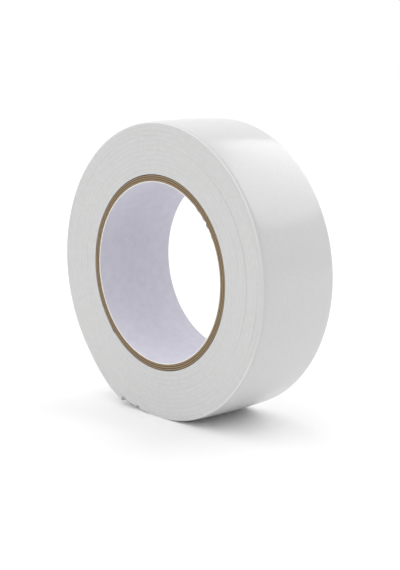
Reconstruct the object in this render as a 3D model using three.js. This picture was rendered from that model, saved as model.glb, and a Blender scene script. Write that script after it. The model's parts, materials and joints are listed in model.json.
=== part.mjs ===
// Roll of double-sided foam tape, standing on its rim. Millimetres, +Z up.
// The roll's axis runs along Y, its front face looks along -Y, and the origin is on the floor,
// under the middle of the roll.
import * as THREE from "three";

// Driving dimensions
const TAPE_WIDTH = 40;
const BORE_DIAMETER = 76;
const LINING_THICKNESS = 0.4;
const KRAFT_PLY_THICKNESS = 0.8;
const GLUE_LINE = 0.05;
const ADHESIVE_THICKNESS = 0.1;
const FOAM_THICKNESS = 1.4;
const LINER_THICKNESS = 0.12;
const LAYER_CLEARANCE = 0.05;
const TURNS = 11;
const TAIL_LIFT = 0.35;
const HINGE_GAP = 0.3;

// Flat facets that stand for the round forms
const CORE_SIDES = 48;
const STEPS_PER_TURN = 24;

// Steps along the tape: each turn climbs over the end of the turn below in its last steps,
// and the last steps of the last turn are the free tail, whose liner can peel back from its tip.
const CLIMB_STEPS = 2;
const START_STEPS_UNDER_CLIMB = 1;
const TAIL_STEPS = 2;
const LINER_TAB_STEPS = 1;
const STEPS_FROM_TIP_TO_FLOOR = 1;

// Finishes
const LINING_FINISH = { color: 0xdcdce6, roughness: 0.8 };
const KRAFT_FINISH = { color: 0x9a8064, roughness: 0.95 };
const KRAFT_MIDDLE_FINISH = { color: 0xa88d70, roughness: 0.95 };
const ADHESIVE_FINISH = { color: 0xecebe4, roughness: 0.25 };
const FOAM_FINISH = { color: 0xe8e8e6, roughness: 0.9 };
const LINER_FINISH = { color: 0xf1f1ef, roughness: 0.4 };

// Layers of the core from the bore outwards
const CORE_LAYERS = [
  { name: "core_lining_paper", thickness: LINING_THICKNESS, finish: LINING_FINISH },
  { name: "core_kraft_ply_inner", thickness: KRAFT_PLY_THICKNESS, finish: KRAFT_FINISH },
  { name: "core_kraft_ply_middle", thickness: KRAFT_PLY_THICKNESS, finish: KRAFT_MIDDLE_FINISH },
  { name: "core_kraft_ply_outer", thickness: KRAFT_PLY_THICKNESS, finish: KRAFT_FINISH },
];
const CORE_RADIUS = stack(CORE_LAYERS, BORE_DIAMETER / 2, GLUE_LINE) - GLUE_LINE;

// Layers of the tape from its inner face outwards, with heights above that face
const INNER_ADHESIVE = { name: "inner_adhesive", thickness: ADHESIVE_THICKNESS, finish: ADHESIVE_FINISH };
const FOAM = { name: "foam", thickness: FOAM_THICKNESS, finish: FOAM_FINISH };
const OUTER_ADHESIVE = { name: "outer_adhesive", thickness: ADHESIVE_THICKNESS, finish: ADHESIVE_FINISH };
const LINER = { name: "release_liner", thickness: LINER_THICKNESS, finish: LINER_FINISH };
const TAPE_LAYERS = [INNER_ADHESIVE, FOAM, OUTER_ADHESIVE, LINER];
const PITCH = stack(TAPE_LAYERS, 0, LAYER_CLEARANCE);

// The winding in steps and angles. Angles are seen from the front, from +X towards +Z.
// Half a step keeps one facet of the outer turn level, so the roll stands on it.
const STEP_ANGLE = (2 * Math.PI) / STEPS_PER_TURN;
const FACET_DEPTH = Math.cos(STEP_ANGLE / 2);
const TIP_ANGLE = -Math.PI / 2 - (STEPS_FROM_TIP_TO_FLOOR + 0.5) * STEP_ANGLE;
const TAIL_TIP = TURNS * STEPS_PER_TURN;
const TAIL_ROOT = TAIL_TIP - TAIL_STEPS;
const LINER_TAB_ROOT = TAIL_TIP - LINER_TAB_STEPS;
const START_RADIUS = (CORE_RADIUS + LAYER_CLEARANCE) / FACET_DEPTH;
const OUTER_RADIUS = START_RADIUS + (TURNS - 1) * PITCH + LINER.top;
const AXIS_HEIGHT = OUTER_RADIUS * FACET_DEPTH;
const HINGE_GAP_STEPS = HINGE_GAP / (2 * OUTER_RADIUS * Math.sin(STEP_ANGLE / 2));

// Gives each layer its bottom and top, with a gap above it, and returns where the next one would start.
function stack(layers, start, gap) {
  let bottom = start;
  for (const layer of layers) {
    layer.bottom = bottom;
    layer.top = bottom + layer.thickness;
    bottom = layer.top + gap;
  }
  return bottom;
}

function namedMesh(name, geometry, finish) {
  const mesh = new THREE.Mesh(geometry, new THREE.MeshStandardMaterial({ metalness: 0, ...finish }));
  mesh.name = name;
  return mesh;
}

// A tube of board or paper as wide as the tape, round the Y axis.
function coreTube(layer) {
  const half = TAPE_WIDTH / 2;
  const profile = [
    new THREE.Vector2(layer.bottom, -half),
    new THREE.Vector2(layer.top, -half),
    new THREE.Vector2(layer.top, half),
    new THREE.Vector2(layer.bottom, half),
    new THREE.Vector2(layer.bottom, -half),
  ];
  return namedMesh(layer.name, new THREE.LatheGeometry(profile, CORE_SIDES), layer.finish);
}

// Radius of the tape's inner face at a whole step: level round the turn, then a climb of one pitch.
function spiralRadius(step) {
  const turn = Math.floor(step / STEPS_PER_TURN);
  const stepsIntoClimb = step - turn * STEPS_PER_TURN - (STEPS_PER_TURN - CLIMB_STEPS);
  const climb = Math.max(0, stepsIntoClimb) / CLIMB_STEPS;
  const lift = (TAIL_LIFT * Math.max(0, step - TAIL_ROOT)) / TAIL_STEPS;
  return START_RADIUS + PITCH * (turn + climb) + lift;
}

// A corner of the winding. Before step 0 the tape lies under its own first climb: the core holds
// its inner face out there, so the foam is squeezed thin.
function tapeCorner(step, height) {
  const spiral = spiralRadius(step);
  const radius = height > FOAM.bottom ? spiral : Math.max(spiral, START_RADIUS);
  const angle = TIP_ANGLE + step * STEP_ANGLE;
  return new THREE.Vector2(Math.cos(angle), Math.sin(angle)).multiplyScalar(radius + height);
}

// A point on the flat facet between two corners.
function tapePoint(step, height) {
  const whole = Math.floor(step);
  return tapeCorner(whole, height).lerp(tapeCorner(whole + 1, height), step - whole);
}

function stepsBetween(first, last) {
  const steps = [first];
  for (let step = Math.floor(first) + 1; step < last; step++) {
    steps.push(step);
  }
  steps.push(last);
  return steps;
}

// One unbroken strip of a layer, drawn edge on between two steps and as wide as the tape.
// Its place is given from the origin point, which is a hinge for the strips that swing.
function tapeStrip(prefix, layer, first, last, origin) {
  const steps = stepsBetween(first, last);
  const outer = steps.map((step) => tapePoint(step, layer.top).sub(origin));
  const inner = steps.map((step) => tapePoint(step, layer.bottom).sub(origin));
  const outline = new THREE.Shape([...outer, ...inner.reverse()]);
  const geometry = new THREE.ExtrudeGeometry(outline, { depth: TAPE_WIDTH, bevelEnabled: false });
  return namedMesh(`${prefix}_${layer.name}`, geometry, layer.finish);
}

// Distance from a corner to the two facets that meet at another corner.
function cornerToFacets(step, height, otherStep, otherHeight) {
  const corner = tapePoint(step, height);
  const point = new THREE.Vector3(corner.x, corner.y, 0);
  const ends = [otherStep - 1, otherStep, otherStep + 1].map((end) => {
    const place = tapePoint(end, otherHeight);
    return new THREE.Vector3(place.x, place.y, 0);
  });
  const facets = [new THREE.Line3(ends[0], ends[1]), new THREE.Line3(ends[1], ends[2])];
  const nearest = facets.map((facet) => facet.closestPointToPoint(point, true, new THREE.Vector3()));
  return Math.min(...nearest.map((place) => place.distanceTo(point)));
}

// Least gap between a wound layer and its own next turn, measured from the corners of both faces.
function leastGapToItself(layer) {
  let least = Infinity;
  for (let step = 1 - START_STEPS_UNDER_CLIMB; step + STEPS_PER_TURN < TAIL_ROOT; step++) {
    const above = step + STEPS_PER_TURN;
    const outwards = cornerToFacets(step, layer.top, above, layer.bottom);
    const inwards = cornerToFacets(above, layer.bottom, step, layer.top);
    least = Math.min(least, outwards, inwards);
  }
  return least;
}

function core() {
  const group = new THREE.Group();
  group.add(...CORE_LAYERS.map(coreTube));
  group.position.z = AXIS_HEIGHT;
  return group;
}

// The turns that stay on the roll, ending just short of the tail.
function winding() {
  const group = new THREE.Group();
  const centre = new THREE.Vector2(0, 0);
  for (const layer of TAPE_LAYERS) {
    const last = TAIL_ROOT - HINGE_GAP_STEPS;
    group.add(tapeStrip("wound", layer, -START_STEPS_UNDER_CLIMB, last, centre));
    console.log(`wound_${layer.name}: least gap to itself ${leastGapToItself(layer).toFixed(3)} mm`);
  }
  return group;
}

// The free end of the tape. It lifts from the roll about the outer edge of its root, and the end of
// its liner peels back about the outer edge of the tab's root.
function tail() {
  const group = new THREE.Group();
  const hinge = tapePoint(TAIL_ROOT, LINER.top);
  for (const layer of [INNER_ADHESIVE, FOAM, OUTER_ADHESIVE]) {
    group.add(tapeStrip("tail", layer, TAIL_ROOT, TAIL_TIP, hinge));
  }
  group.add(tapeStrip("tail", LINER, TAIL_ROOT, LINER_TAB_ROOT - HINGE_GAP_STEPS, hinge));

  const tabHinge = tapePoint(LINER_TAB_ROOT, LINER.top);
  const tab = tapeStrip("peeling", LINER, LINER_TAB_ROOT, TAIL_TIP, tabHinge);
  tab.position.set(tabHinge.x - hinge.x, tabHinge.y - hinge.y, 0);
  group.add(tab);
  group.position.set(hinge.x, hinge.y, 0);
  return group;
}

// The tape is drawn edge on in X and Y and extruded along Z, then stood up to face the front.
function tape() {
  const group = new THREE.Group();
  group.add(winding(), tail());
  group.rotation.x = Math.PI / 2;
  group.position.set(0, TAPE_WIDTH / 2, AXIS_HEIGHT);
  return group;
}

const roll = new THREE.Group();
roll.add(core(), tape());

export default roll;
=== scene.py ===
"""A standing roll of double-sided foam tape on a lined kraft-board core, dressed around its frame.

The roll's axis runs along Y, its front side face looks along -Y, and it stands on the floor at Z = 0.
Angles round the axis are seen from the front, from +X towards +Z. Lengths are in metres.
"""

from __future__ import annotations

import json
import logging
import math
from dataclasses import dataclass
from enum import Enum

import bmesh
import bpy
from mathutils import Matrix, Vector, noise

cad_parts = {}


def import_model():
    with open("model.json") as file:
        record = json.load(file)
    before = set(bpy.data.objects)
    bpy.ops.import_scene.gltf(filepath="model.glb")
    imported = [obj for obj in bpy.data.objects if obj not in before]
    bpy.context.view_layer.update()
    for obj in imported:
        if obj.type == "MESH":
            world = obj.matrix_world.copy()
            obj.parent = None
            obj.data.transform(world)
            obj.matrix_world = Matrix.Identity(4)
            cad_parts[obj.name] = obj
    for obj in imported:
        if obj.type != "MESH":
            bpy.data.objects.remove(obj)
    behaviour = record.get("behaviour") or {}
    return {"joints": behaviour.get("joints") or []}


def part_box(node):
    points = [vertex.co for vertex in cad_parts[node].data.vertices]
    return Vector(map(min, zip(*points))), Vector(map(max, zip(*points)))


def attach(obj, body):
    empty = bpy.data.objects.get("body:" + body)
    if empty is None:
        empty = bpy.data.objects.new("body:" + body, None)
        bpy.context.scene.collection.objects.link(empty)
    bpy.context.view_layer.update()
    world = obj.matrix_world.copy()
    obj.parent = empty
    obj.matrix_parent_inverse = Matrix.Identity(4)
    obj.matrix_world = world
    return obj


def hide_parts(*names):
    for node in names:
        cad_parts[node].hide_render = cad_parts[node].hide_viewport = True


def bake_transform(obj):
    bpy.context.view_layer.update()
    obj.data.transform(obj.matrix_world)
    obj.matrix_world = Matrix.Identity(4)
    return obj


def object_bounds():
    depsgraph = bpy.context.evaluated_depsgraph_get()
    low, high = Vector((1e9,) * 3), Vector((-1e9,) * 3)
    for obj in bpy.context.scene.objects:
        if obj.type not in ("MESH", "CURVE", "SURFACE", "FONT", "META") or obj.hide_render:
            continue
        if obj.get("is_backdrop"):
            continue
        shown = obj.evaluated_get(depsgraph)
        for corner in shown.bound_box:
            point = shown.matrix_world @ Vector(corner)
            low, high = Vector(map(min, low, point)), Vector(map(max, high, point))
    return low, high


MM = 0.001
FULL_TURN = 2 * math.pi
LOG = logging.getLogger("tape_roll")

# Edges that turn by more than this are drawn sharp.
SHARP_ANGLE = math.radians(38)

# The part of a grain's range in which its colour goes from dark to pale.
GRAIN_SPREAD = (0.3, 0.7)

# The Mix node's colour sockets, which share their names with its other sockets.
COLOUR_A = 6
COLOUR_B = 7
MIXED_COLOUR = 2


class Body(str, Enum):
    """The rigid bodies that pieces ride on."""

    ROLL = "roll"
    TAIL = "tail"
    LINER_TAB = "liner_tab"


class Joint(str, Enum):
    """The frame's joints, whose places the tail is given."""

    TAIL_PEEL = "tail_peel"
    LINER_PEEL = "liner_peel"


class Slot(str, Enum):
    """The material slots that the tape's layers belong to."""

    LINING_PAPER = "lining_paper"
    KRAFT_BOARD = "kraft_board"
    ADHESIVE = "adhesive"
    FOAM = "foam"
    RELEASE_LINER = "release_liner"


class Layer(str, Enum):
    """The tape's layers, from its inner face outwards."""

    INNER_ADHESIVE = "inner_adhesive"
    FOAM = "foam"
    OUTER_ADHESIVE = "outer_adhesive"
    LINER = "release_liner"

    @property
    def slot(self) -> Slot:
        """The layer's material slot."""
        return {Layer.FOAM: Slot.FOAM, Layer.LINER: Slot.RELEASE_LINER}.get(self, Slot.ADHESIVE)


def linear(colour: str) -> tuple[float, float, float, float]:
    """Turn an sRGB hex colour to linear RGBA.

    Args:
        colour: six hex digits after a hash sign.

    Returns:
        Linear red, green, blue and an alpha of one.
    """
    levels = [int(colour[i : i + 2], 16) / 255 for i in (1, 3, 5)]
    values = [v / 12.92 if v <= 0.04045 else ((v + 0.055) / 1.055) ** 2.4 for v in levels]
    return (*values, 1.0)


def add_node(
    tree: bpy.types.NodeTree,
    kind: str,
    settings: dict[str | int, object] | None = None,
    links: dict[str | int, bpy.types.NodeSocket] | None = None,
) -> bpy.types.Node:
    """Add a node with its settings and links.

    Args:
        tree: the tree that the node goes into.
        kind: Blender's name for the node's type.
        settings: values by property name or, where the node has no such property, by input name or number.
        links: the sockets that feed the node, by input name or number.

    Returns:
        The new node.
    """
    node = tree.nodes.new(kind)
    for name, value in (settings or {}).items():
        if isinstance(name, str) and hasattr(node, name):
            setattr(node, name, value)
        else:
            node.inputs[name].default_value = value
    for name, source in (links or {}).items():
        tree.links.new(source, node.inputs[name])
    return node


def smooth_share(value: float) -> float:
    """Ease a share from 0 to 1, held flat outside that range."""
    share = min(1.0, max(0.0, value))
    return share * share * (3 - 2 * share)


def fade(distance: float, reach: float) -> float:
    """Fall evenly from 1 at no distance to 0 at the reach and beyond it."""
    return max(0.0, 1 - distance / reach)


def near(angle: float, middle: float, reach: float) -> float:
    """Ease from 1 at an angle round the axis to 0 at the reach on either side of it."""
    return smooth_share(fade(abs(math.remainder(angle - middle, FULL_TURN)), reach))


@dataclass(frozen=True)
class Surface:
    """A new material with its shader and Object coordinates, ready for a finish to fill in."""

    material: bpy.types.Material
    tree: bpy.types.NodeTree
    shader: bpy.types.Node
    place: bpy.types.NodeSocket

    @classmethod
    def named(cls, name: str) -> Surface:
        """Make an empty surface.

        Args:
            name: the material's name.

        Returns:
            The surface.
        """
        material = bpy.data.materials.new(name)
        material.use_nodes = True
        tree = material.node_tree
        coordinates = add_node(tree, "ShaderNodeTexCoord")
        return cls(material, tree, tree.nodes["Principled BSDF"], coordinates.outputs["Object"])

    def mottle(
        self,
        size: float,
        dark: str,
        pale: str,
        detail: float = 3.0,
        spread: tuple[float, float] = GRAIN_SPREAD,
    ) -> bpy.types.NodeSocket:
        """Colour the surface in two shades that follow a grain.

        Args:
            size: the size of one grain.
            dark: the shade of its low parts.
            pale: the shade of its high parts.
            detail: how many finer layers the grain has.
            spread: the part of the grain's range in which dark turns to pale.

        Returns:
            The colour.
        """
        low, high = spread
        grain = add_node(
            self.tree,
            "ShaderNodeTexNoise",
            {"Scale": 1 / size, "Detail": detail},
            {"Vector": self.place},
        )
        share = add_node(
            self.tree,
            "ShaderNodeMapRange",
            {"From Min": low, "From Max": high},
            {"Value": grain.outputs["Fac"]},
        )
        shades = add_node(
            self.tree,
            "ShaderNodeMix",
            {"data_type": "RGBA", COLOUR_A: linear(dark), COLOUR_B: linear(pale)},
            {"Factor": share.outputs[0]},
        )
        return shades.outputs[MIXED_COLOUR]

    def relief(
        self,
        size: float,
        depth: float,
        strength: float,
        detail: float = 3.0,
    ) -> bpy.types.NodeSocket:
        """Roughen the surface with a grain.

        Args:
            size: the size of one grain.
            depth: the grain's full height.
            strength: how strongly it shows.
            detail: how many finer layers the grain has.

        Returns:
            The surface normal.
        """
        grain = add_node(
            self.tree,
            "ShaderNodeTexNoise",
            {"Scale": 1 / size, "Detail": detail},
            {"Vector": self.place},
        )
        bump = add_node(
            self.tree,
            "ShaderNodeBump",
            {"Strength": strength, "Distance": depth},
            {"Height": grain.outputs["Fac"]},
        )
        return bump.outputs["Normal"]

    def radius(self, axis_height: float) -> bpy.types.NodeSocket:
        """Measure the distance from the roll's axis.

        Args:
            axis_height: the axis's height above the floor.

        Returns:
            The distance.
        """
        settings = {"Location": (0, 0, -axis_height), "Scale": (1, 0, 1)}
        flat = add_node(self.tree, "ShaderNodeMapping", settings, {"Vector": self.place})
        length = {"operation": "LENGTH"}
        return add_node(self.tree, "ShaderNodeVectorMath", length, {0: flat.outputs[0]}).outputs["Value"]

    def cut_edge(self, half_width: float, reach: float) -> bpy.types.NodeSocket:
        """Find the two ends along the roll's axis, where a knife has bared the fibres.

        Args:
            half_width: how far the ends are from the middle.
            reach: how far in from an end the bare fibres fade out.

        Returns:
            The share of bare fibres.
        """
        y = add_node(self.tree, "ShaderNodeSeparateXYZ", links={0: self.place}).outputs["Y"]
        across = add_node(self.tree, "ShaderNodeMath", {"operation": "ABSOLUTE"}, {0: y}).outputs[0]
        rise = {"interpolation_type": "SMOOTHSTEP", "From Min": half_width - reach, "From Max": half_width}
        return add_node(self.tree, "ShaderNodeMapRange", rise, {"Value": across}).outputs[0]

    def fill(
        self,
        settings: dict[str, object],
        links: dict[str, bpy.types.NodeSocket],
    ) -> bpy.types.Material:
        """Set the shader's own sockets.

        Args:
            settings: plain values by input name.
            links: the sockets that feed the shader, by input name.

        Returns:
            The finished material.
        """
        for name, value in settings.items():
            self.shader.inputs[name].default_value = value
        for name, source in links.items():
            self.tree.links.new(source, self.shader.inputs[name])
        return self.material


@dataclass(frozen=True)
class ClosedCellFoam:
    """White polyethylene foam, slit with a knife: dead matt, with a fine pitting of cut cells."""

    pale: str = "#dadada"
    dark: str = "#d6d6d6"
    cell: float = 0.45 * MM
    pit_depth: float = 0.05 * MM
    pit_strength: float = 0.35
    blotch: float = 2.5 * MM
    blotch_spread: tuple[float, float] = (0.35, 0.65)

    def material(self) -> bpy.types.Material:
        """Make the foam. Its cells are about 0.2 mm and are drawn at twice that, so that they show.

        Returns:
            The material.
        """
        surface = Surface.named("closed_cell_foam")
        cells = add_node(
            surface.tree,
            "ShaderNodeTexVoronoi",
            {"feature": "SMOOTH_F1", "Scale": 1 / self.cell},
            {"Vector": surface.place},
        )
        pits = add_node(
            surface.tree,
            "ShaderNodeBump",
            {"Strength": self.pit_strength, "Distance": self.pit_depth},
            {"Height": cells.outputs["Distance"]},
        )
        colour = surface.mottle(self.blotch, self.dark, self.pale, spread=self.blotch_spread)
        return surface.fill(
            {"Roughness": 0.85, "IOR": 1.45, "Specular IOR Level": 0.25},
            {"Base Color": colour, "Normal": pits.outputs["Normal"]},
        )


@dataclass(frozen=True)
class SiliconeReleasePaper:
    """Bleached paper with a silicone coat: smooth and satin, with a faint mottle of fibres below it."""

    pale: str = "#d5d5d5"
    dark: str = "#d1d1d1"
    bare: str = "#d9d9d8"
    # Painted highlight: the near-white colour of the cut edges along the rim, standing in for the light
    # the rim catches.
    painted_rim_highlight: str = "#fafaf9"
    bare_reach: float = 0.8 * MM
    fibre: float = 1.2 * MM
    ripple: float = 14 * MM
    ripple_depth: float = 0.05 * MM

    def material(self, half_width: float, axis_height: float, outer_radius: float) -> bpy.types.Material:
        """Make the release paper, with bare fibres at its cut edges and a painted highlight, near white,
        on them along the rim.

        Args:
            half_width: how far the cut edges are from the middle.
            axis_height: the roll's axis above the floor.
            outer_radius: the radius of the roll's rim.

        Returns:
            The material.
        """
        surface = Surface.named("silicone_release_paper")
        paper = surface.mottle(self.fibre, self.dark, self.pale)
        inner_radius = outer_radius - self.bare_reach
        # Painted highlight: the cut edges turn near white towards the rim's radius, in place of the rim's
        # bright line.
        rim_highlight_share = add_node(
            surface.tree,
            "ShaderNodeMapRange",
            {"interpolation_type": "SMOOTHSTEP", "From Min": inner_radius, "From Max": outer_radius},
            {"Value": surface.radius(axis_height)},
        )
        fibres = add_node(
            surface.tree,
            "ShaderNodeMix",
            {"data_type": "RGBA", COLOUR_A: linear(self.bare), COLOUR_B: linear(self.painted_rim_highlight)},
            {"Factor": rim_highlight_share.outputs[0]},
        )
        colour = add_node(
            surface.tree,
            "ShaderNodeMix",
            {"data_type": "RGBA"},
            {
                "Factor": surface.cut_edge(half_width, self.bare_reach),
                COLOUR_A: paper,
                COLOUR_B: fibres.outputs[MIXED_COLOUR],
            },
        )
        return surface.fill(
            {"Roughness": 0.45, "IOR": 1.5, "Coat Weight": 0.8, "Coat Roughness": 0.17},
            {
                "Base Color": colour.outputs[MIXED_COLOUR],
                "Normal": surface.relief(self.ripple, self.ripple_depth, strength=0.5, detail=1.0),
            },
        )


@dataclass(frozen=True)
class AcrylicAdhesive:
    """Clear acrylic adhesive on white foam: wet-looking, with a drawn, stringy surface."""

    pale: str = "#dcdcd9"
    dark: str = "#d6d6d3"
    string: float = 0.8 * MM
    string_depth: float = 0.04 * MM
    string_detail: float = 2.0

    def material(self) -> bpy.types.Material:
        """Make the adhesive, whose colour and relief follow the same strings.

        Returns:
            The material.
        """
        surface = Surface.named("acrylic_adhesive")
        colour = surface.mottle(self.string, self.dark, self.pale, self.string_detail)
        normal = surface.relief(self.string, self.string_depth, strength=0.4, detail=self.string_detail)
        return surface.fill({"Roughness": 0.22, "IOR": 1.47}, {"Base Color": colour, "Normal": normal})


@dataclass(frozen=True)
class KraftBoard:
    """Brown kraft board, wound in glued plies and sawn: fuzzy fibres, dark lines at the glued joints, and
    a painted shade line at its outer face, where the gap to the tape lies.
    """

    pale: str = "#b29d80"
    middle: str = "#9a8468"
    # Colour of the glue lines, and of the painted shade line at the core's outer face.
    glue_and_gap_shade: str = "#4c3b2b"
    fibre: float = 0.35 * MM
    fibre_detail: float = 4.0
    fuzz_depth: float = 0.08 * MM
    glue_line: float = 0.36 * MM

    def material(self, axis_height: float, joint_radius: float, ply_pitch: float) -> bpy.types.Material:
        """Make the board.

        Args:
            axis_height: the roll's axis above the floor.
            joint_radius: the radius of one glued joint.
            ply_pitch: the distance from one glued joint to the next.

        Returns:
            The material.
        """
        surface = Surface.named("kraft_board")
        past_joint = add_node(
            surface.tree,
            "ShaderNodeMath",
            {"operation": "SUBTRACT", 1: joint_radius},
            {0: surface.radius(axis_height)},
        )
        to_joint = add_node(
            surface.tree,
            "ShaderNodeMath",
            {"operation": "PINGPONG", 1: ply_pitch / 2},
            {0: past_joint.outputs[0]},
        )
        # Dark near every ply joint: the lines between plies are glue, and the one at the core's outer face
        # is painted shade of the gap under the tape.
        joint_and_gap_shade_share = add_node(
            surface.tree,
            "ShaderNodeMapRange",
            {"interpolation_type": "SMOOTHSTEP", "From Min": self.glue_line, "From Max": 0.0},
            {"Value": to_joint.outputs[0]},
        )
        board = surface.mottle(self.fibre, self.middle, self.pale, self.fibre_detail)
        colour = add_node(
            surface.tree,
            "ShaderNodeMix",
            {"data_type": "RGBA", COLOUR_B: linear(self.glue_and_gap_shade)},
            {"Factor": joint_and_gap_shade_share.outputs[0], COLOUR_A: board},
        )
        fuzz = surface.relief(self.fibre, self.fuzz_depth, strength=0.6, detail=self.fibre_detail)
        return surface.fill(
            {"Roughness": 0.9, "IOR": 1.45, "Specular IOR Level": 0.2},
            {"Base Color": colour.outputs[MIXED_COLOUR], "Normal": fuzz},
        )


@dataclass(frozen=True)
class LiningPaper:
    """Bleached lining paper, a little lavender from its brightener: soft, with a cloudy formation."""

    pale: str = "#d5d4de"
    dark: str = "#cecdd7"
    bare: str = "#fbf7ee"
    bare_reach: float = 0.35 * MM
    cloud: float = 3.5 * MM
    tooth: float = 0.5 * MM
    tooth_depth: float = 0.03 * MM

    def material(self, half_width: float) -> bpy.types.Material:
        """Make the lining paper, with bare fibres at its two cut edges.

        Args:
            half_width: how far the cut edges are from the middle.

        Returns:
            The material.
        """
        surface = Surface.named("lining_paper")
        colour = add_node(
            surface.tree,
            "ShaderNodeMix",
            {"data_type": "RGBA", COLOUR_B: linear(self.bare)},
            {
                "Factor": surface.cut_edge(half_width, self.bare_reach),
                COLOUR_A: surface.mottle(self.cloud, self.dark, self.pale),
            },
        )
        tooth = surface.relief(self.tooth, self.tooth_depth, strength=0.4)
        return surface.fill(
            {"Roughness": 0.7, "IOR": 1.45, "Specular IOR Level": 0.3},
            {"Base Color": colour.outputs[MIXED_COLOUR], "Normal": tooth},
        )


def make_object(name: str, bm: bmesh.types.BMesh, material: bpy.types.Material) -> bpy.types.Object:
    """Turn a finished bmesh to an object at the origin.

    Args:
        name: the piece's name.
        bm: its closed mesh, which is freed.
        material: its finish.

    Returns:
        The object, linked to the scene.
    """
    bmesh.ops.recalc_face_normals(bm, faces=bm.faces)
    mesh = bpy.data.meshes.new(name)
    bm.to_mesh(mesh)
    bm.free()
    mesh.materials.append(material)
    mesh.shade_smooth()
    mesh.set_sharp_from_angle(angle=SHARP_ANGLE)
    piece = bpy.data.objects.new(name, mesh)
    bpy.context.scene.collection.objects.link(piece)
    LOG.info("%s: %d faces", name, len(mesh.polygons))
    return piece


@dataclass(frozen=True)
class TapeSection:
    """The tape's cross-section: where each layer lies above the tape's inner face, and its edges.

    The foam's edge bulges between its faces: each point of the bulge is a share of the foam's thickness
    and the share of the pillow by which it still lies inside.
    """

    width: float = 40 * MM
    pitch: float = 1.99 * MM
    adhesive: float = 0.1 * MM
    liner: float = 0.12 * MM
    seam: float = 0.005 * MM
    weld: float = 0.00005 * MM
    foam_pillow: float = 0.03 * MM
    foam_bulge: tuple[tuple[float, float], ...] = ((0.12, 0.4), (0.5, 0.0), (0.88, 0.4))
    liner_inset: float = 0.01 * MM
    adhesive_inset: float = 0.02 * MM
    edge_rows: tuple[float, ...] = tuple(
        row * MM for row in (0.25, 0.5, 0.8, 1.2, 1.7, 2.4, 4, 8, 14)
    )

    @property
    def half(self) -> float:
        """Half of the tape's width."""
        return self.width / 2

    @property
    def foam(self) -> float:
        """The foam's thickness, which fills what the other layers leave of the pitch."""
        return self.pitch - 2 * self.adhesive - self.liner - len(Layer) * self.seam

    @property
    def top(self) -> float:
        """The height of the liner's outer face."""
        return self.pitch - self.seam

    def span(self, layer: Layer) -> tuple[float, float]:
        """Find a layer's place in the tape.

        Args:
            layer: the layer to find.

        Returns:
            The heights of its inner and outer face.
        """
        thickness = {
            Layer.INNER_ADHESIVE: self.adhesive,
            Layer.FOAM: self.foam,
            Layer.OUTER_ADHESIVE: self.adhesive,
            Layer.LINER: self.liner,
        }
        bottom = 0.0
        for other in Layer:
            if other is layer:
                break
            bottom += thickness[other] + self.seam
        return bottom, bottom + thickness[layer]

    def profile(self, layer: Layer) -> list[tuple[float, float]]:
        """Draw a layer's closed outline.

        Args:
            layer: the layer to draw.

        Returns:
            Places across the tape and heights above its inner face, in order round the outline.
        """
        insets = {Layer.FOAM: self.foam_pillow, Layer.LINER: self.liner_inset}
        inset = insets.get(layer, self.adhesive_inset)
        ends = [self.half - inset, *(self.half - row for row in self.edge_rows)]
        across = [-place for place in ends] + [0.0] + ends[::-1]
        bottom, top = self.span(layer)
        bulge = self.foam_bulge if layer is Layer.FOAM else ()
        side = [(self.half - share * inset, bottom + rise * (top - bottom)) for rise, share in bulge]
        inner_face = [(place, bottom) for place in across]
        outer_face = [(place, top) for place in reversed(across)]
        other_side = [(-place, height) for place, height in reversed(side)]
        return inner_face + side + outer_face + other_side


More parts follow.
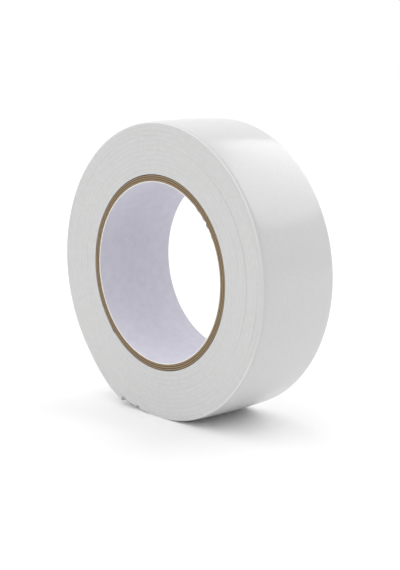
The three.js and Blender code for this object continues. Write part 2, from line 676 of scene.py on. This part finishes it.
@dataclass(frozen=True)
class TapePath:
    """The line that the tape follows from the core to its tip, counted in turns from its start.

    Each turn is level until it climbs over the end of the turn below. The last climb is the tail.
    The foam gives: the outer turns are drawn in at their edges, and the roll's foot is pressed flat. The
    front rim is worn round on one side and has a knock beside the tail, and the turns wander a little
    along the axis, most of all on the loose side.
    """

    axis_height: float
    core_radius: float
    section: TapeSection
    turns: int = 11
    tip_angle: float = math.radians(-112.5)
    climb: float = 30 / 360
    start: float = -21 / 360
    core_gap: float = 0.25 * MM
    tail_lift: float = 0.2 * MM
    tail_lift_run: float = 5 / 360
    soft_turns: float = 2.5
    crown: float = 0.5 * MM
    rim_round: float = 0.35 * MM
    rim_width: float = 1.2 * MM
    foot_angle: float = math.radians(-90)
    foot_reach: float = math.radians(30)
    foot_round: float = 0.45 * MM
    foot_width: float = 4 * MM
    knock_angle: float = math.radians(-102.5)
    knock_reach: float = math.radians(1.8)
    knock_depth: float = 1.2 * MM
    knock_width: float = 3 * MM
    knock_rows: int = 4
    worn_angle: float = math.radians(-5)
    worn_reach: float = math.radians(50)
    worn_round: float = 0.7 * MM
    worn_width: float = 2.6 * MM
    rim_depth: float = 3 * MM
    rim_recess: float = 0.2 * MM
    rim_reach: float = 4 * MM
    wander: float = 0.14 * MM
    wander_turns: float = 0.11
    wander_seed: float = 0.5
    tight_share: float = 0.5
    loose_angle: float = math.radians(5)
    loose_reach: float = math.radians(80)

    @property
    def root(self) -> float:
        """Where the tail starts."""
        return self.turns - self.climb

    @property
    def rim_radius(self) -> float:
        """The radius of the outer turn at its edges."""
        middle = self.core_radius + self.core_gap + self.turns * self.section.pitch
        return middle - self.crown - self.rim_round

    def angle(self, run: float) -> float:
        """Return the angle round the axis after that many turns."""
        return self.tip_angle + FULL_TURN * run

    def level(self, run: float) -> float:
        """Return how many pitches the tape has climbed after that many turns."""
        whole = math.floor(run)
        return whole + smooth_share((run - whole - 1 + self.climb) / self.climb)

    def drawn_in(self, angle: float, across: float) -> float:
        """Find how far the roll's outer face is drawn in.

        Args:
            angle: the angle round the axis.
            across: the place across the tape, from its middle.

        Returns:
            The distance towards the axis.
        """
        from_edge = self.section.half - abs(across)
        at_foot = near(angle, self.foot_angle, self.foot_reach)
        depth = self.crown * (across / self.section.half) ** 2
        depth += self.rim_round * fade(from_edge, self.rim_width) ** 2
        depth += self.foot_round * at_foot * fade(from_edge, self.foot_width) ** 2
        if across < 0:
            knocked = near(angle, self.knock_angle, self.knock_reach)
            worn = near(angle, self.worn_angle, self.worn_reach)
            depth += self.knock_depth * knocked * fade(from_edge, self.knock_width)
            depth += self.worn_round * worn * fade(from_edge, self.worn_width) ** 2
        return depth

    def foam_faces(self, run: float, across: float) -> tuple[float, float]:
        """Find the foam's two faces, which follow the roll's outer face less the deeper they lie.

        Args:
            run: turns from the tape's start.
            across: the place across the tape, from its middle.

        Returns:
            The radii of its inner and outer face.
        """
        bottom, top = self.section.span(Layer.FOAM)
        angle = self.angle(run)
        level = self.level(run)
        drawn_in = self.drawn_in(angle, across)
        inner_press = fade(max(0.0, self.turns - level), self.soft_turns) ** 2
        outer_press = fade(max(0.0, self.turns - 1 - level), self.soft_turns) ** 2
        lift = self.tail_lift * fade(self.turns - run, self.tail_lift_run) ** 2
        base = self.core_radius + self.core_gap + lift
        inner = base + max(level, 0.0) * self.section.pitch + bottom - drawn_in * inner_press
        outer = base + level * self.section.pitch + top - drawn_in * outer_press
        down = math.cos(angle - self.foot_angle)
        if down > 0:
            outer = min(outer, (self.axis_height - self.section.top + top) / down)
        return inner, outer

    def place(self, run: float, across: float, height: float) -> Vector:
        """Find a point of the tape.

        Args:
            run: turns from the tape's start.
            across: the place across the tape, from its middle.
            height: the height above the tape's inner face, with the foam at its full thickness.

        Returns:
            The point, with the roll's sunken rim and the tape's small wander along the axis.
        """
        bottom, top = self.section.span(Layer.FOAM)
        inner, outer = self.foam_faces(run, across)
        share = min(1.0, max(0.0, (height - bottom) / (top - bottom)))
        radius = inner + (outer - inner) * share + min(0.0, height - bottom) + max(0.0, height - top)
        angle = self.angle(run)
        depth = (self.turns - 1 - self.level(run)) * self.section.pitch + self.section.top - height
        rim = fade(max(0.0, depth), self.rim_depth) ** 2
        edge = fade(self.section.half - abs(across), self.rim_reach)
        looseness = near(angle, self.loose_angle, self.loose_reach)
        wander = self.wander * (self.tight_share + (1 - self.tight_share) * looseness)
        shift = wander * noise.noise(Vector((run / self.wander_turns, self.wander_seed, self.wander_seed)))
        y = across - math.copysign(self.rim_recess * rim * edge, across) + shift
        return Vector((radius * math.cos(angle), y, self.axis_height + radius * math.sin(angle)))

    def runs(self, first: float, last: float, steps: int) -> list[float]:
        """Find where a strip has rows of corners: even steps, and closer ones at the knock.

        Args:
            first: turns to the strip's first end.
            last: turns to its last end.
            steps: how many even steps it takes.

        Returns:
            The turns from the tape's start to each row, in order.
        """
        even = [first + (last - first) * step / steps for step in range(steps + 1)]
        past_tip = (self.knock_angle - self.tip_angle) / FULL_TURN
        row_gap = self.knock_reach / self.knock_rows / FULL_TURN
        close = [
            self.turns - turn + past_tip + row * row_gap
            for turn in range(1, math.ceil(self.soft_turns) + 1)
            for row in range(-self.knock_rows, self.knock_rows + 1)
        ]
        return sorted(even + [run for run in close if first < run < last])

    def strip(self, layer: Layer, first: float, last: float, steps: int) -> bmesh.types.BMesh:
        """Roll a flat grid up to one of the tape's layers: its length along the tape, its width round it.

        Args:
            layer: the layer to make.
            first: turns to the strip's first end.
            last: turns to its last end.
            steps: how many even steps it takes.

        Returns:
            The closed strip.
        """
        outline = self.section.profile(layer)
        runs = self.runs(first, last, steps)
        bm = bmesh.new()
        bmesh.ops.create_grid(bm, x_segments=len(runs) - 1, y_segments=len(outline), size=0.5)
        for corner in bm.verts:
            run = runs[round((corner.co.x + 0.5) * (len(runs) - 1))]
            across, height = outline[round((corner.co.y + 0.5) * len(outline)) % len(outline)]
            corner.co = self.place(run, across, height)
        bmesh.ops.remove_doubles(bm, verts=bm.verts, dist=self.section.weld)
        ends = [edge for edge in bm.edges if edge.is_boundary]
        bmesh.ops.holes_fill(bm, edges=ends)
        return bm


@dataclass
class WoundTape:
    """The turns that stay on the roll."""

    path: TapePath
    finishes: dict[Layer, bpy.types.Material]
    steps_per_turn: int = 120
    root_overlap: float = 3 / 360

    @property
    def last(self) -> float:
        """Where the turns end and the tail's strips take over, just short of the tail's root."""
        return self.path.root - self.root_overlap

    def strip(self, layer: Layer, name: str, first: float, last: float, steps: int) -> bpy.types.Object:
        """Build one strip of the tape.

        Args:
            layer: the strip's layer.
            name: the piece's name.
            first: turns to the strip's first end.
            last: turns to its last end.
            steps: how many even steps it takes.

        Returns:
            The strip, which rides on nothing yet.
        """
        piece = make_object(name, self.path.strip(layer, first, last, steps), self.finishes[layer])
        return piece

    def build(self) -> None:
        """Build the four wound strips and ride them on the roll."""
        steps = round((self.last - self.path.start) * self.steps_per_turn)
        for layer in Layer:
            piece = self.strip(layer, f"{layer.value}_turns", self.path.start, self.last, steps)
            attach(piece, Body.ROLL.value)
            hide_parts(f"wound_{layer.value}")


@dataclass
class TapeTail:
    """The free end of the tape, whose layers lift a little off the roll, and the liner end, built as a
    strip of its own.
    """

    wound: WoundTape
    tail_hinge: Vector
    tab_hinge: Vector
    tab_length: float = 15 / 360
    step: float = 0.75 / 360
    tail_bend: float = 9 * MM
    tab_bend: float = 7 * MM

    def strip(self, layer: Layer, name: str, first: float, last: float) -> bpy.types.Object:
        """Build one strip of the tail, in its fine steps."""
        return self.wound.strip(layer, name, first, last, round((last - first) / self.step))

    def build(self) -> None:
        """Build the tail's strips and the liner tab."""
        path = self.wound.path
        tip = float(path.turns)
        tab_root = tip - self.tab_length
        for layer in Layer:
            last = tab_root if layer is Layer.LINER else tip
            piece = self.strip(layer, f"{layer.value}_tail", self.wound.last, last)
            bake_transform(piece)
            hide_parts(f"tail_{layer.value}")
        tab = self.strip(Layer.LINER, "release_liner_tab", tab_root, tip)
        tab_tip = path.place(tip, 0.0, path.section.top)
        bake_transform(tab)
        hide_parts("peeling_release_liner")


@dataclass
class PaperCore:
    """The core: a lining of white paper and three kraft plies, each one sheet with a slanting seam."""

    axis_height: float
    width: float
    kraft: KraftBoard
    paper: LiningPaper
    bore_radius: float = 38 * MM
    lining: float = 0.4 * MM
    ply: float = 0.8 * MM
    ply_names: tuple[str, ...] = ("inner", "middle", "outer")
    glue_line: float = 0.05 * MM
    sides: int = 240
    seam_lead: float = 155 * MM
    seam_gap: float = math.radians(0.25)
    lining_seam: float = math.radians(42)
    ply_seam_shift: float = math.radians(140)
    end_rows: tuple[float, ...] = tuple(row * MM for row in (0, 0.15, 0.5, 1.2, 2.5, 5, 10))
    fray_reach: float = 0.5 * MM
    fray_grain: float = 0.9 * MM
    lining_fray: float = 0.12 * MM
    lining_seed: float = 3.0
    ply_sink: float = 0.12 * MM
    ply_fray: float = 0.1 * MM
    ply_seed: float = 10.0
    tear_reach: float = math.radians(18)
    tear_fade: float = math.radians(9)
    tear_grain: float = 2.2 * MM
    tear_depth: float = 3.2 * MM
    flap_depth: float = 2.5 * MM
    flap_lift: float = 0.9 * MM

    @property
    def half(self) -> float:
        """Half of the core's width."""
        return self.width / 2

    def rows(self) -> list[float]:
        """Return the places along the axis where a sheet has a row of corners."""
        front = [row - self.half for row in self.end_rows]
        return [*front, 0.0, *(-place for place in reversed(front))]

    def sheet(self, radius: float, thickness: float, seam: float) -> bmesh.types.BMesh:
        """Wind a sheet once round the bore, with a slanting butt seam.

        Args:
            radius: the sheet's inner radius.
            thickness: its thickness.
            seam: the seam's angle at the front.

        Returns:
            The closed sheet.
        """
        bm = bmesh.new()
        corners = []
        for y in self.rows():
            angle = seam - FULL_TURN * (y + self.half) / self.seam_lead
            x = radius * math.cos(angle)
            z = self.axis_height + radius * math.sin(angle)
            corners.append(bm.verts.new((x, y, z)))
        edges = [bm.edges.new(pair) for pair in zip(corners, corners[1:])]
        bmesh.ops.spin(
            bm,
            geom=[*corners, *edges],
            cent=(0, 0, self.axis_height),
            axis=(0, 1, 0),
            angle=FULL_TURN - self.seam_gap,
            steps=self.sides,
        )
        bmesh.ops.recalc_face_normals(bm, faces=bm.faces)
        outwards = sum(self.outward(face) for face in bm.faces)
        bmesh.ops.solidify(bm, geom=list(bm.faces), thickness=-math.copysign(thickness, outwards))
        return bm

    def outward(self, face: bmesh.types.BMFace) -> float:
        """Return how far a face points away from the axis."""
        middle = face.calc_center_median()
        return face.normal.dot(Vector((middle.x, 0, middle.z - self.axis_height)))

    def fray(self, bm: bmesh.types.BMesh, sink: float, amount: float, seed: float) -> None:
        """Roughen a sheet's cut ends.

        Args:
            bm: the sheet.
            sink: how far the cut lies below the tape's edge.
            amount: how far the cut strays further in.
            seed: where in the noise the cut starts.
        """
        for corner in bm.verts:
            share = fade(self.half - abs(corner.co.y), self.fray_reach)
            if share > 0:
                stray = noise.noise(corner.co / self.fray_grain + Vector((seed, 0, 0)))
                inwards = share * (sink + amount * (0.5 + 0.5 * stray))
                corner.co.y -= math.copysign(inwards, corner.co.y)

    def tear(self, bm: bmesh.types.BMesh) -> None:
        """Tear the lining where its seam meets the front end: bits come off and bits lift.

        Args:
            bm: the lining.
        """
        for corner in bm.verts:
            from_axis = Vector((corner.co.x, 0, corner.co.z - self.axis_height))
            from_seam = abs(math.atan2(from_axis.z, from_axis.x) - self.lining_seam)
            near_seam = smooth_share((self.tear_reach - from_seam) / self.tear_fade)
            near_end = fade(corner.co.y + self.half, self.flap_depth)
            stray = near_seam * noise.noise(from_axis / self.tear_grain)
            if stray > 0:
                corner.co.y += self.tear_depth * stray * near_end
            else:
                corner.co += from_axis.normalized() * self.flap_lift * stray * near_end**2

    def build(self) -> None:
        """Build the lining and the plies and ride them on the roll."""
        paper = self.paper.material(self.half)
        first_joint = self.bore_radius + self.lining + self.glue_line / 2
        ply_pitch = self.ply + self.glue_line
        kraft = self.kraft.material(self.axis_height, first_joint, ply_pitch)

        lining = self.sheet(self.bore_radius, self.lining, self.lining_seam)
        self.fray(lining, 0.0, self.lining_fray, self.lining_seed)
        self.tear(lining)
        self.dress(make_object("lining_sheet", lining, paper), "core_lining_paper")

        radius = self.bore_radius + self.lining + self.glue_line
        for number, name in enumerate(self.ply_names, start=1):
            ply = self.sheet(radius, self.ply, self.lining_seam + self.ply_seam_shift * number)
            self.fray(ply, self.ply_sink, self.ply_fray, self.ply_seed * number)
            piece = make_object(f"kraft_ply_{name}", ply, kraft)
            self.dress(piece, f"core_kraft_ply_{name}")
            radius += ply_pitch

    def dress(self, piece: bpy.types.Object, node: str) -> None:
        """Ride a sheet on the roll in place of its node.

        Args:
            piece: the sheet.
            node: the node that it replaces.
        """
        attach(piece, Body.ROLL.value)
        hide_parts(node)


@dataclass
class Studio:
    """A pale floor, a soft light from above, a softbox behind the roll, and the camera.

    The light's levels are pairs, for the dim side and for the bright side that a direction gives.
    """

    axis_height: float
    camera_place: tuple[float, float, float] = (390.3 * MM, -354.8 * MM, 90.6 * MM)
    camera_aim: tuple[float, float, float] = (-0.72328, 0.66596, -0.18265)
    lens: float = 79.25
    sensor_width: float = 36
    clip: tuple[float, float] = (0.01, 50)
    floor_side: float = 8.0
    floor_colour: str = "#fbfbfb"
    floor_lift: float = 0.035
    overhead: tuple[float, float] = (0.5, 1.66)
    overhead_side: tuple[float, float, float] = (-0.75, -0.66, 0.0)
    low_light: tuple[float, float] = (0.0, 1.15)
    low_side: tuple[float, float, float] = (-0.8, 0.6, 0.0)
    low_edges: tuple[float, float] = (math.radians(17), math.radians(27))
    softbox_turn: float = math.radians(76)
    softbox_height: float = math.radians(39)
    softbox_distance: float = 1.2
    softbox_size: tuple[float, float] = (1.3, 0.56)
    softbox_power: float = 4.3

    def build(self) -> None:
        """Build the camera, the floor and the light."""
        self.camera()
        self.floor()
        self.world()
        self.softbox()
        bpy.context.scene.view_settings.view_transform = "Standard"

    def camera(self) -> None:
        """Set the camera at the photograph's angle."""
        data = bpy.data.cameras.new("camera")
        data.lens = self.lens
        data.sensor_width = self.sensor_width
        data.clip_start, data.clip_end = self.clip
        camera = bpy.data.objects.new("camera", data)
        camera.location = Vector(self.camera_place) + Vector((0, 0, self.axis_height))
        camera.rotation_euler = Vector(self.camera_aim).to_track_quat("-Z", "Y").to_euler()
        bpy.context.scene.collection.objects.link(camera)
        bpy.context.scene.camera = camera

    def seen(self, tree: bpy.types.NodeTree) -> bpy.types.NodeSocket:
        """Add a share that is 1 for what the camera sees, straight or in a reflection or a glass.

        Args:
            tree: the tree that the share goes into.

        Returns:
            The share.
        """
        path = add_node(tree, "ShaderNodeLightPath")
        share = path.outputs["Is Camera Ray"]
        for kind in ("Is Glossy Ray", "Is Transmission Ray"):
            links = {0: share, 1: path.outputs[kind]}
            share = add_node(tree, "ShaderNodeMath", {"operation": "MAXIMUM"}, links).outputs[0]
        return share

    def floor(self) -> None:
        """Lay the floor. A little glow that lights nothing takes it to white and keeps the shadow."""
        bm = bmesh.new()
        bmesh.ops.create_grid(bm, x_segments=1, y_segments=1, size=self.floor_side / 2)
        surface = Surface.named("floor")
        glow = add_node(
            surface.tree,
            "ShaderNodeMapRange",
            {"To Min": 0.0, "To Max": self.floor_lift},
            {"Value": self.seen(surface.tree)},
        )
        material = surface.fill(
            {
                "Base Color": linear(self.floor_colour),
                "Roughness": 1.0,
                "Specular IOR Level": 0.0,
                "Emission Color": (1, 1, 1, 1),
            },
            {"Emission Strength": glow.outputs[0]},
        )
        make_object("floor", bm, material)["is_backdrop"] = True

    def world(self) -> None:
        """Light the roll from above. Low down the light is dim, but what is seen there is white."""
        world = bpy.data.worlds.new("studio")
        world.use_nodes = True
        bpy.context.scene.world = world
        tree = world.node_tree
        direction = add_node(tree, "ShaderNodeTexCoord").outputs["Generated"]
        height = add_node(tree, "ShaderNodeSeparateXYZ", links={0: direction}).outputs["Z"]
        levels = []
        for bright_side, (dim, bright) in (
            (self.overhead_side, self.overhead),
            (self.low_side, self.low_light),
        ):
            towards = {"operation": "DOT_PRODUCT", 1: bright_side}
            side = add_node(tree, "ShaderNodeVectorMath", towards, {0: direction})
            settings = {"From Min": -1.0, "From Max": 1.0, "To Min": dim, "To Max": bright}
            level = add_node(tree, "ShaderNodeMapRange", settings, {"Value": side.outputs["Value"]})
            levels.append(level.outputs[0])
        overhead, low_light = levels
        low = add_node(
            tree,
            "ShaderNodeMapRange",
            {"To Max": 1.0},
            {"Value": self.seen(tree), "To Min": low_light},
        )
        low_edge, high_edge = (math.sin(edge) for edge in self.low_edges)
        dome = add_node(
            tree,
            "ShaderNodeMapRange",
            {"interpolation_type": "SMOOTHSTEP", "From Min": low_edge, "From Max": high_edge},
            {"Value": height, "To Min": low.outputs[0], "To Max": overhead},
        )
        background = tree.nodes["Background"]
        background.inputs["Color"].default_value = (1, 1, 1, 1)
        tree.links.new(dome.outputs[0], background.inputs["Strength"])

    def softbox(self) -> None:
        """Hang the softbox behind the roll, where the outer turn reflects its lower edge."""
        data = bpy.data.lights.new("softbox", "AREA")
        data.shape = "RECTANGLE"
        data.size, data.size_y = self.softbox_size
        data.energy = self.softbox_power
        flat = math.cos(self.softbox_height)
        across = Vector((math.cos(self.softbox_turn), math.sin(self.softbox_turn), 0)) * flat
        towards = across + Vector((0, 0, math.sin(self.softbox_height)))
        lamp = bpy.data.objects.new("softbox", data)
        lamp.location = towards * self.softbox_distance + Vector((0, 0, self.axis_height))
        lamp.rotation_euler = towards.to_track_quat("Z", "Y").to_euler()
        bpy.context.scene.collection.objects.link(lamp)


def corners(box: tuple[Vector, Vector]) -> list[list[float]]:
    """Return a box's two corners as plain lists."""
    return [list(corner) for corner in box]


def main() -> None:
    """Build the roll around its frame."""
    logging.basicConfig(level=logging.INFO, format="%(name)s %(message)s")
    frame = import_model()
    frame_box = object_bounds()
    low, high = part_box("core_lining_paper")
    axis_height = (low.z + high.z) / 2
    core_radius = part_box("core_kraft_ply_outer")[1].x
    hinges = {Joint(joint["name"]): Vector(joint["pos_m"]) for joint in frame["joints"]}

    Studio(axis_height).build()
    section = TapeSection()
    PaperCore(axis_height, section.width, KraftBoard(), LiningPaper()).build()

    path = TapePath(axis_height, core_radius, section)
    adhesive = AcrylicAdhesive().material()
    finishes = {
        Layer.INNER_ADHESIVE: adhesive,
        Layer.FOAM: ClosedCellFoam().material(),
        Layer.OUTER_ADHESIVE: adhesive,
        Layer.LINER: SiliconeReleasePaper().material(section.half, axis_height, path.rim_radius),
    }
    wound = WoundTape(path, finishes)
    wound.build()
    TapeTail(wound, hinges[Joint.TAIL_PEEL], hinges[Joint.LINER_PEEL]).build()

    {"frame": corners(frame_box), "visual": corners(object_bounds())}


if __name__ == "__main__":
    main()
